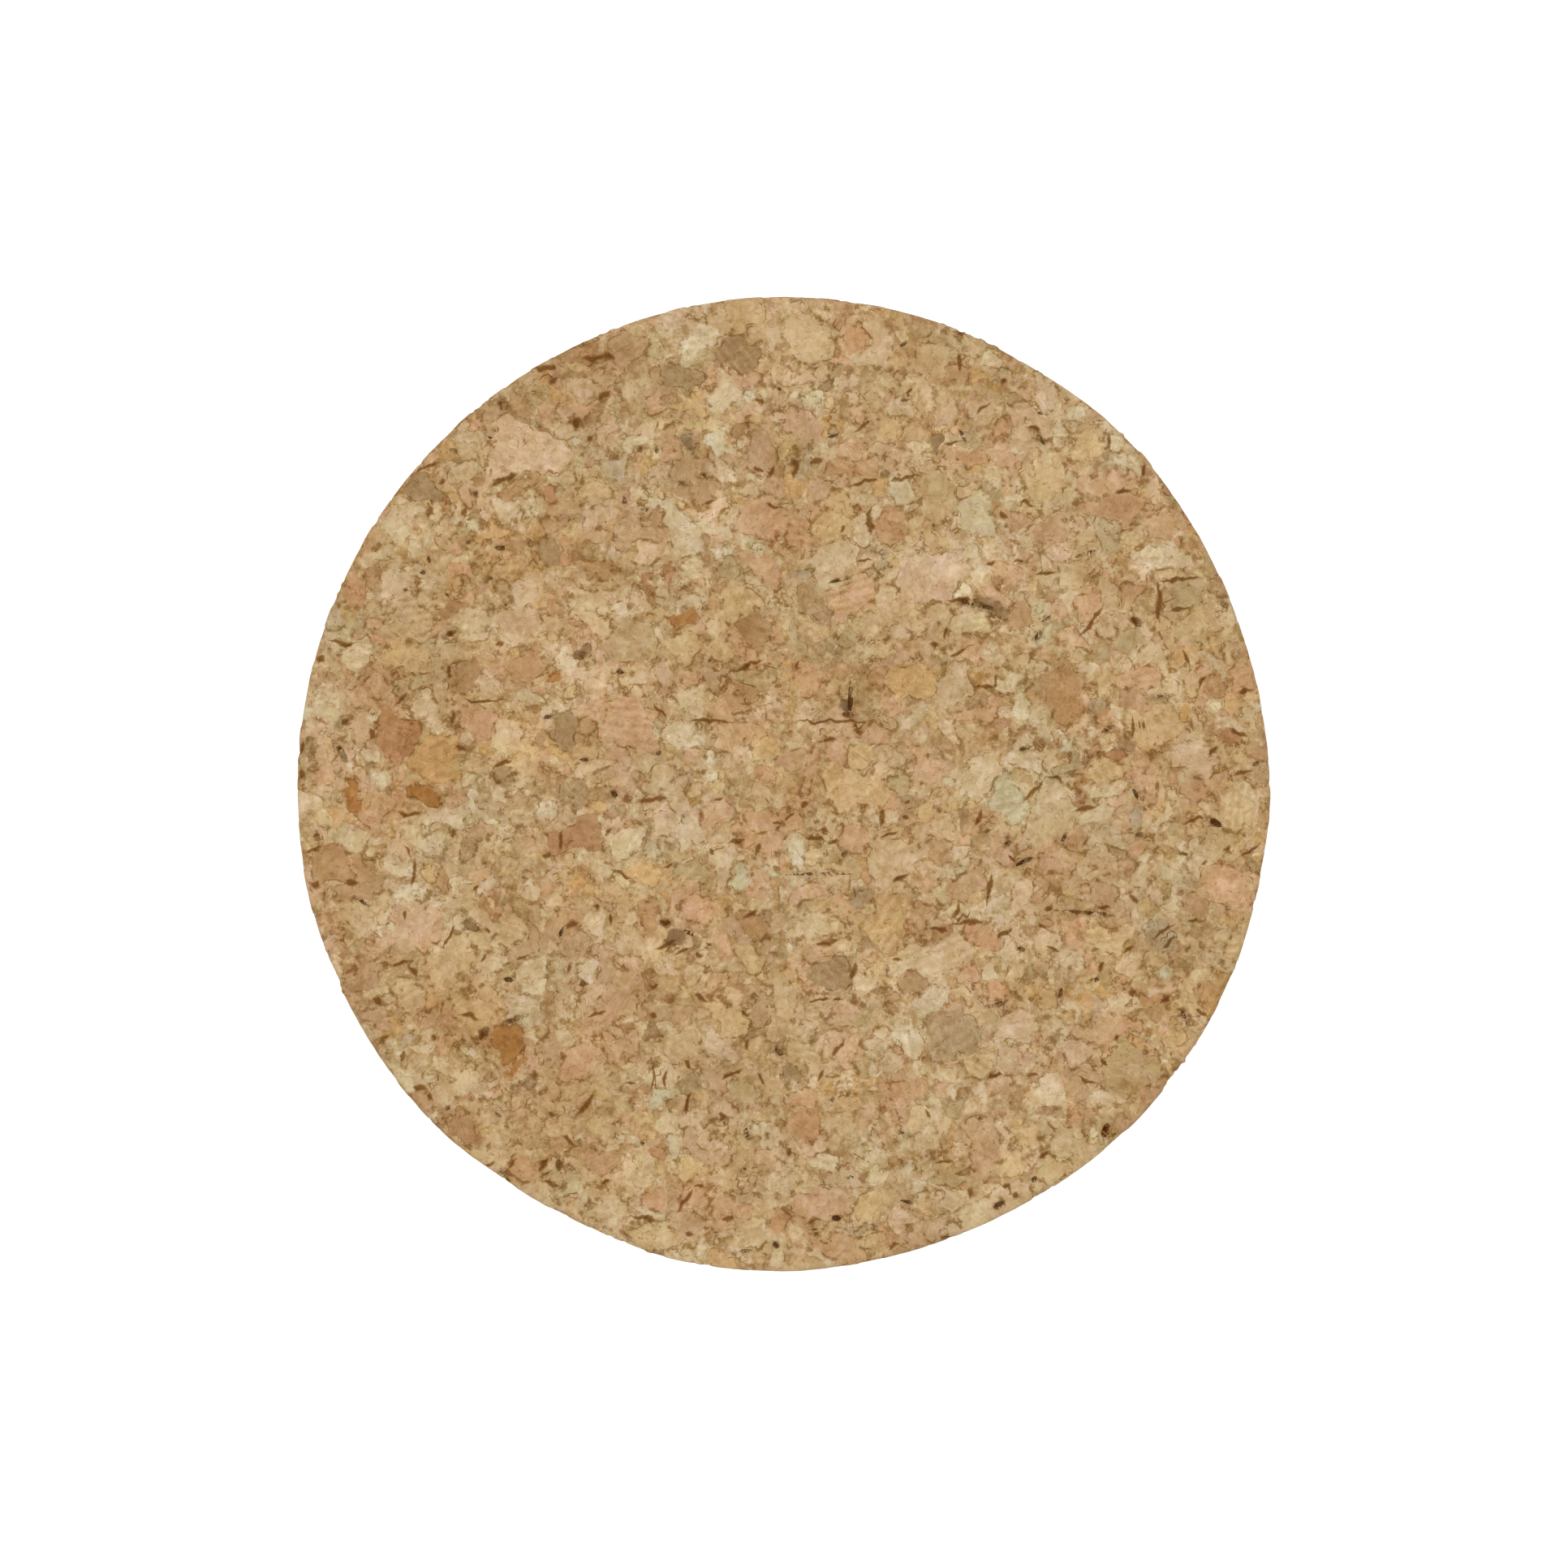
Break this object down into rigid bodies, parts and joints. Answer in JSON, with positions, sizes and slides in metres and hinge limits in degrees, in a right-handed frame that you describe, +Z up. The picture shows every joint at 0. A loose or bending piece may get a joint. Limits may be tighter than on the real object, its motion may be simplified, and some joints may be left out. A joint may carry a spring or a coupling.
{
  "type": "tapered cork stopper",
  "caption": "Solid tapered stopper of pressed cork granules: wide flat top, narrow flat foot, sanded edges and open pores; wedges into a round mouth.",
  "frame": {"origin": "centre of the narrow end, on the surface that the stopper stands on", "axes": "+Z up the axis from the narrow end to the wide end; +X and +Y are the right and the top of the wide end as it is seen from above"},
  "size_m": [0.048, 0.048, 0.038],
  "materials": {
    "pressed_cork": "sanded pressed cork, matt, granules of mixed tan, pink, cream and brown with dark pores"
  },
  "bodies": {
    "root": {"stopper": "pressed_cork"}
  },
  "joints": []
}
